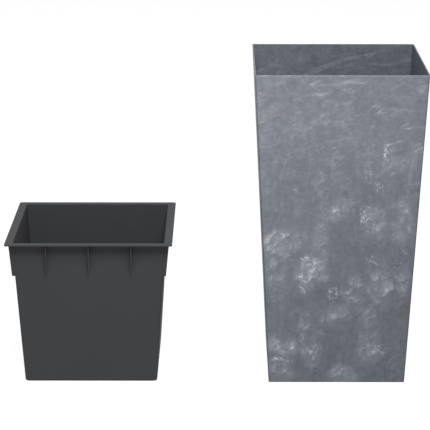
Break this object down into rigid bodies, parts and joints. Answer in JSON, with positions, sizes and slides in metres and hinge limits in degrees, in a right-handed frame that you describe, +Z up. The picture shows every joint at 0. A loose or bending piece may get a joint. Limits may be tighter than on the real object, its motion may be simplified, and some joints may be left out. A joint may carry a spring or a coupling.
{
  "type": "self watering planter",
  "caption": "Tall tapered square pot and the square flanged insert that hangs in its mouth, with a separator over a water space, wick cups, a filler tube and a float gauge.",
  "frame": {"origin": "centre of the underside of the pot's foot, on the floor", "axes": "+Z up, -Y towards the front, +X to the right seen from the front; the insert stands at -X"},
  "size_m": [0.8005, 0.325, 0.614],
  "materials": {
    "slate_plastic": "matt blue-grey, marbled like slate",
    "anthracite_plastic": "satin, moulded",
    "kit_plastic": "satin, moulded",
    "black_rubber": "matt",
    "white_plastic": "matt foam and rod",
    "red_plastic": "gloss",
    "clear_plastic": "clear, gloss",
    "pin_steel": "bright drawn wire"
  },
  "bodies": {
    "pot": {"planter_pot": "slate_plastic"},
    "pot_bung": {"pot_bung": "black_rubber", "pot_bung_washer": "black_rubber"},
    "insert": {"planting_insert": "anthracite_plastic"},
    "insert_bung": {"insert_bung": "black_rubber", "insert_bung_washer": "black_rubber"},
    "kit": {"separator_tray": "kit_plastic", "wick_cup_front_left": "kit_plastic", "wick_cup_front_right": "kit_plastic", "wick_cup_back_left": "kit_plastic", "wick_cup_back_right": "kit_plastic", "filler_tube": "kit_plastic", "cap_hinge_pin": "pin_steel", "tube_clip": "kit_plastic", "gauge_tube": "kit_plastic", "gauge_foot": "kit_plastic", "gauge_window": "clear_plastic"},
    "cap": {"filler_cap": "kit_plastic"},
    "float": {"gauge_float": "white_plastic", "float_stem": "white_plastic", "level_pointer": "red_plastic"}
  },
  "joints": [
    {"name": "insert_lift", "type": "slide", "parent": "pot", "child": "insert", "axis": [0, 0, 1], "range_m": [0, 0.62]},
    {"name": "pot_bung_pull", "type": "slide", "parent": "pot", "child": "pot_bung", "axis": [0, 0, 1], "range_m": [0, 0.62]},
    {"name": "insert_bung_pull", "type": "slide", "parent": "insert", "child": "insert_bung", "axis": [0, 0, 1], "range_m": [0, 0.02]},
    {"name": "kit_lift", "type": "slide", "parent": "insert", "child": "kit", "axis": [0, 0, 1], "range_m": [0, 0.28]},
    {"name": "cap_hinge", "type": "hinge", "parent": "kit", "child": "cap", "pos_m": [-0.37223, -0.12487, 0.2561], "axis": [1, 0, 0], "range_deg": [0, 100]},
    {"name": "float_rise", "type": "slide", "parent": "kit", "child": "float", "axis": [0, 0, 1], "range_m": [0, 0.036]}
  ]
}
